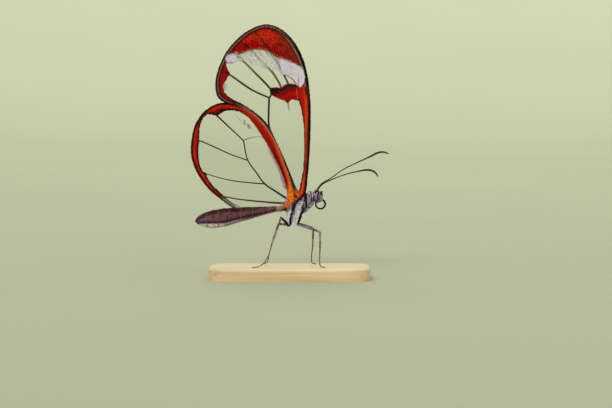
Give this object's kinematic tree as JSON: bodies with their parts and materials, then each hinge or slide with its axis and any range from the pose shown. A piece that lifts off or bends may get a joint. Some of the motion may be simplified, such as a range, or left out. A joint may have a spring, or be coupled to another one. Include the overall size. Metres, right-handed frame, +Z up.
{
  "type": "glasswing butterfly model on a flat display base",
  "caption": "Life-size glasswing butterfly at rest with clear wings closed over its back, standing on a plain flat display base.",
  "frame": {"origin": "middle of the display base's flat underside", "axes": "+X the way the butterfly faces, +Y its left side, +Z up"},
  "size_m": [0.032, 0.015, 0.0411],
  "materials": {
    "wing_membrane": "clear membrane, satin sheen",
    "eye": "dark, glossy",
    "head_scales": "mauve and white hair-scales, dull",
    "coxa_scales": "white scales, dull",
    "antenna": "olive-brown cuticle, dull",
    "femur_scales": "grey-mauve scales, dull",
    "leg_cuticle": "red-brown cuticle, satin",
    "tongue": "black, satin",
    "thorax_scales": "dark brown and white hair-scales, dull",
    "abdomen_scales": "mauve-brown scales, dull",
    "base_wood": "pale maple, satin lacquer"
  },
  "bodies": {
    "root": {"abdomen": "abdomen_scales", "antenna_left": "antenna", "antenna_right": "antenna", "coxa_hind_left": "coxa_scales", "coxa_hind_right": "coxa_scales", "coxa_mid_left": "coxa_scales", "coxa_mid_right": "coxa_scales", "eye_left": "eye", "eye_right": "eye", "femur_hind_left": "femur_scales", "femur_hind_right": "femur_scales", "femur_mid_left": "femur_scales", "femur_mid_right": "femur_scales", "foreleg_left": "coxa_scales", "foreleg_right": "coxa_scales", "forewing_left": "wing_membrane", "forewing_right": "wing_membrane", "head": "head_scales", "hindwing_left": "wing_membrane", "hindwing_right": "wing_membrane", "palp_left": "head_scales", "palp_right": "head_scales", "proboscis": "tongue", "stand_base": "base_wood", "tarsus_hind_left": "leg_cuticle", "tarsus_hind_right": "leg_cuticle", "tarsus_mid_left": "leg_cuticle", "tarsus_mid_right": "leg_cuticle", "thorax": "thorax_scales", "tibia_hind_left": "leg_cuticle", "tibia_hind_right": "leg_cuticle", "tibia_mid_left": "leg_cuticle", "tibia_mid_right": "leg_cuticle"}
  },
  "joints": []
}
